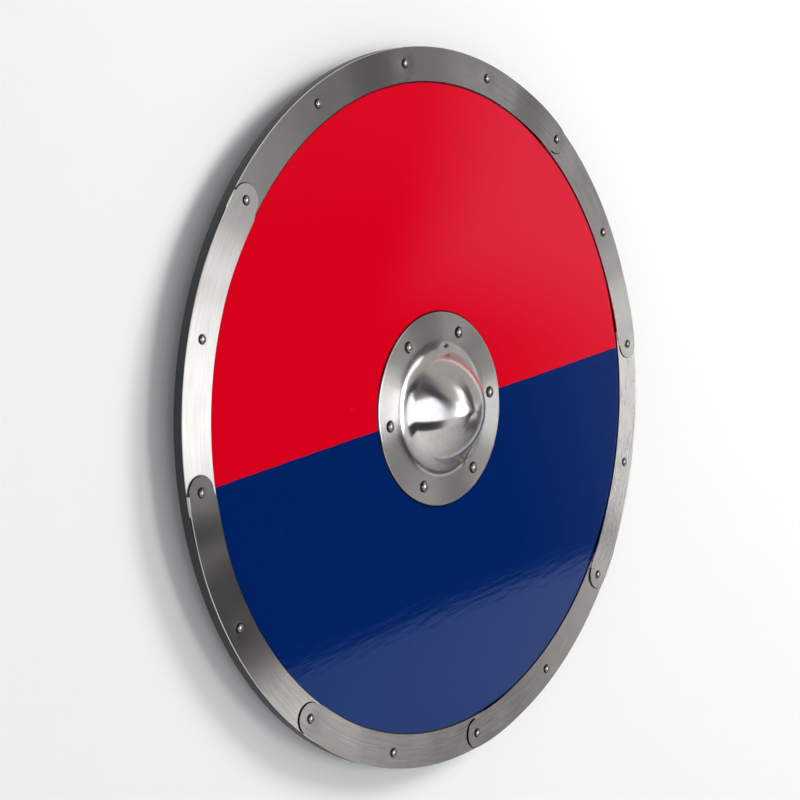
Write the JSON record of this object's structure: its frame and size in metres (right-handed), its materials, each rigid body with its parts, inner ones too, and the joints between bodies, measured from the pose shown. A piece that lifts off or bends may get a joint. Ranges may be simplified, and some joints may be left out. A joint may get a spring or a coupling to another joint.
{
  "type": "wooden round shield",
  "caption": "Flat round wooden shield, painted red and navy, with lapped and riveted steel rim strips, a domed steel boss and a hand grip behind it.",
  "frame": {"origin": "centre of the underside, at the level of the grip's flat underside that the shield rests on, on the board's axis", "axes": "+Z out of the painted front, through the boss's crown; +X along the line between the two colours; +Y towards the red half, -Y towards the navy half"},
  "size_m": [0.6096, 0.6096, 0.064],
  "materials": {
    "painted_board": "gloss paint on a flat board: red on the +Y half of the front, navy blue on the -Y half, black edge and back",
    "boss_steel": "spun and polished, with faint round polishing lines",
    "rim_steel": "polished flat strip with bright cut edges",
    "rivet_steel": "polished domed heads",
    "grip_wood": "oiled bare wood"
  },
  "bodies": {
    "root": {"board": "painted_board", "boss": "boss_steel", "grip": "grip_wood", "rim_strip_1": "rim_steel", "rim_strip_2": "rim_steel", "rim_strip_3": "rim_steel", "rim_strip_4": "rim_steel", "rim_strip_5": "rim_steel", "rim_strip_6": "rim_steel", "rim_strip_7": "rim_steel", "rim_strip_8": "rim_steel", "rim_rivet_1": "rivet_steel", "rim_rivet_2": "rivet_steel", "rim_rivet_3": "rivet_steel", "rim_rivet_4": "rivet_steel", "rim_rivet_5": "rivet_steel", "rim_rivet_6": "rivet_steel", "rim_rivet_7": "rivet_steel", "rim_rivet_8": "rivet_steel", "rim_rivet_9": "rivet_steel", "rim_rivet_10": "rivet_steel", "rim_rivet_11": "rivet_steel", "rim_rivet_12": "rivet_steel", "rim_rivet_13": "rivet_steel", "rim_rivet_14": "rivet_steel", "rim_rivet_15": "rivet_steel", "rim_rivet_16": "rivet_steel", "boss_rivet_1": "rivet_steel", "boss_rivet_2": "rivet_steel", "boss_rivet_3": "rivet_steel", "boss_rivet_4": "rivet_steel", "boss_rivet_5": "rivet_steel", "boss_rivet_6": "rivet_steel"}
  },
  "joints": []
}
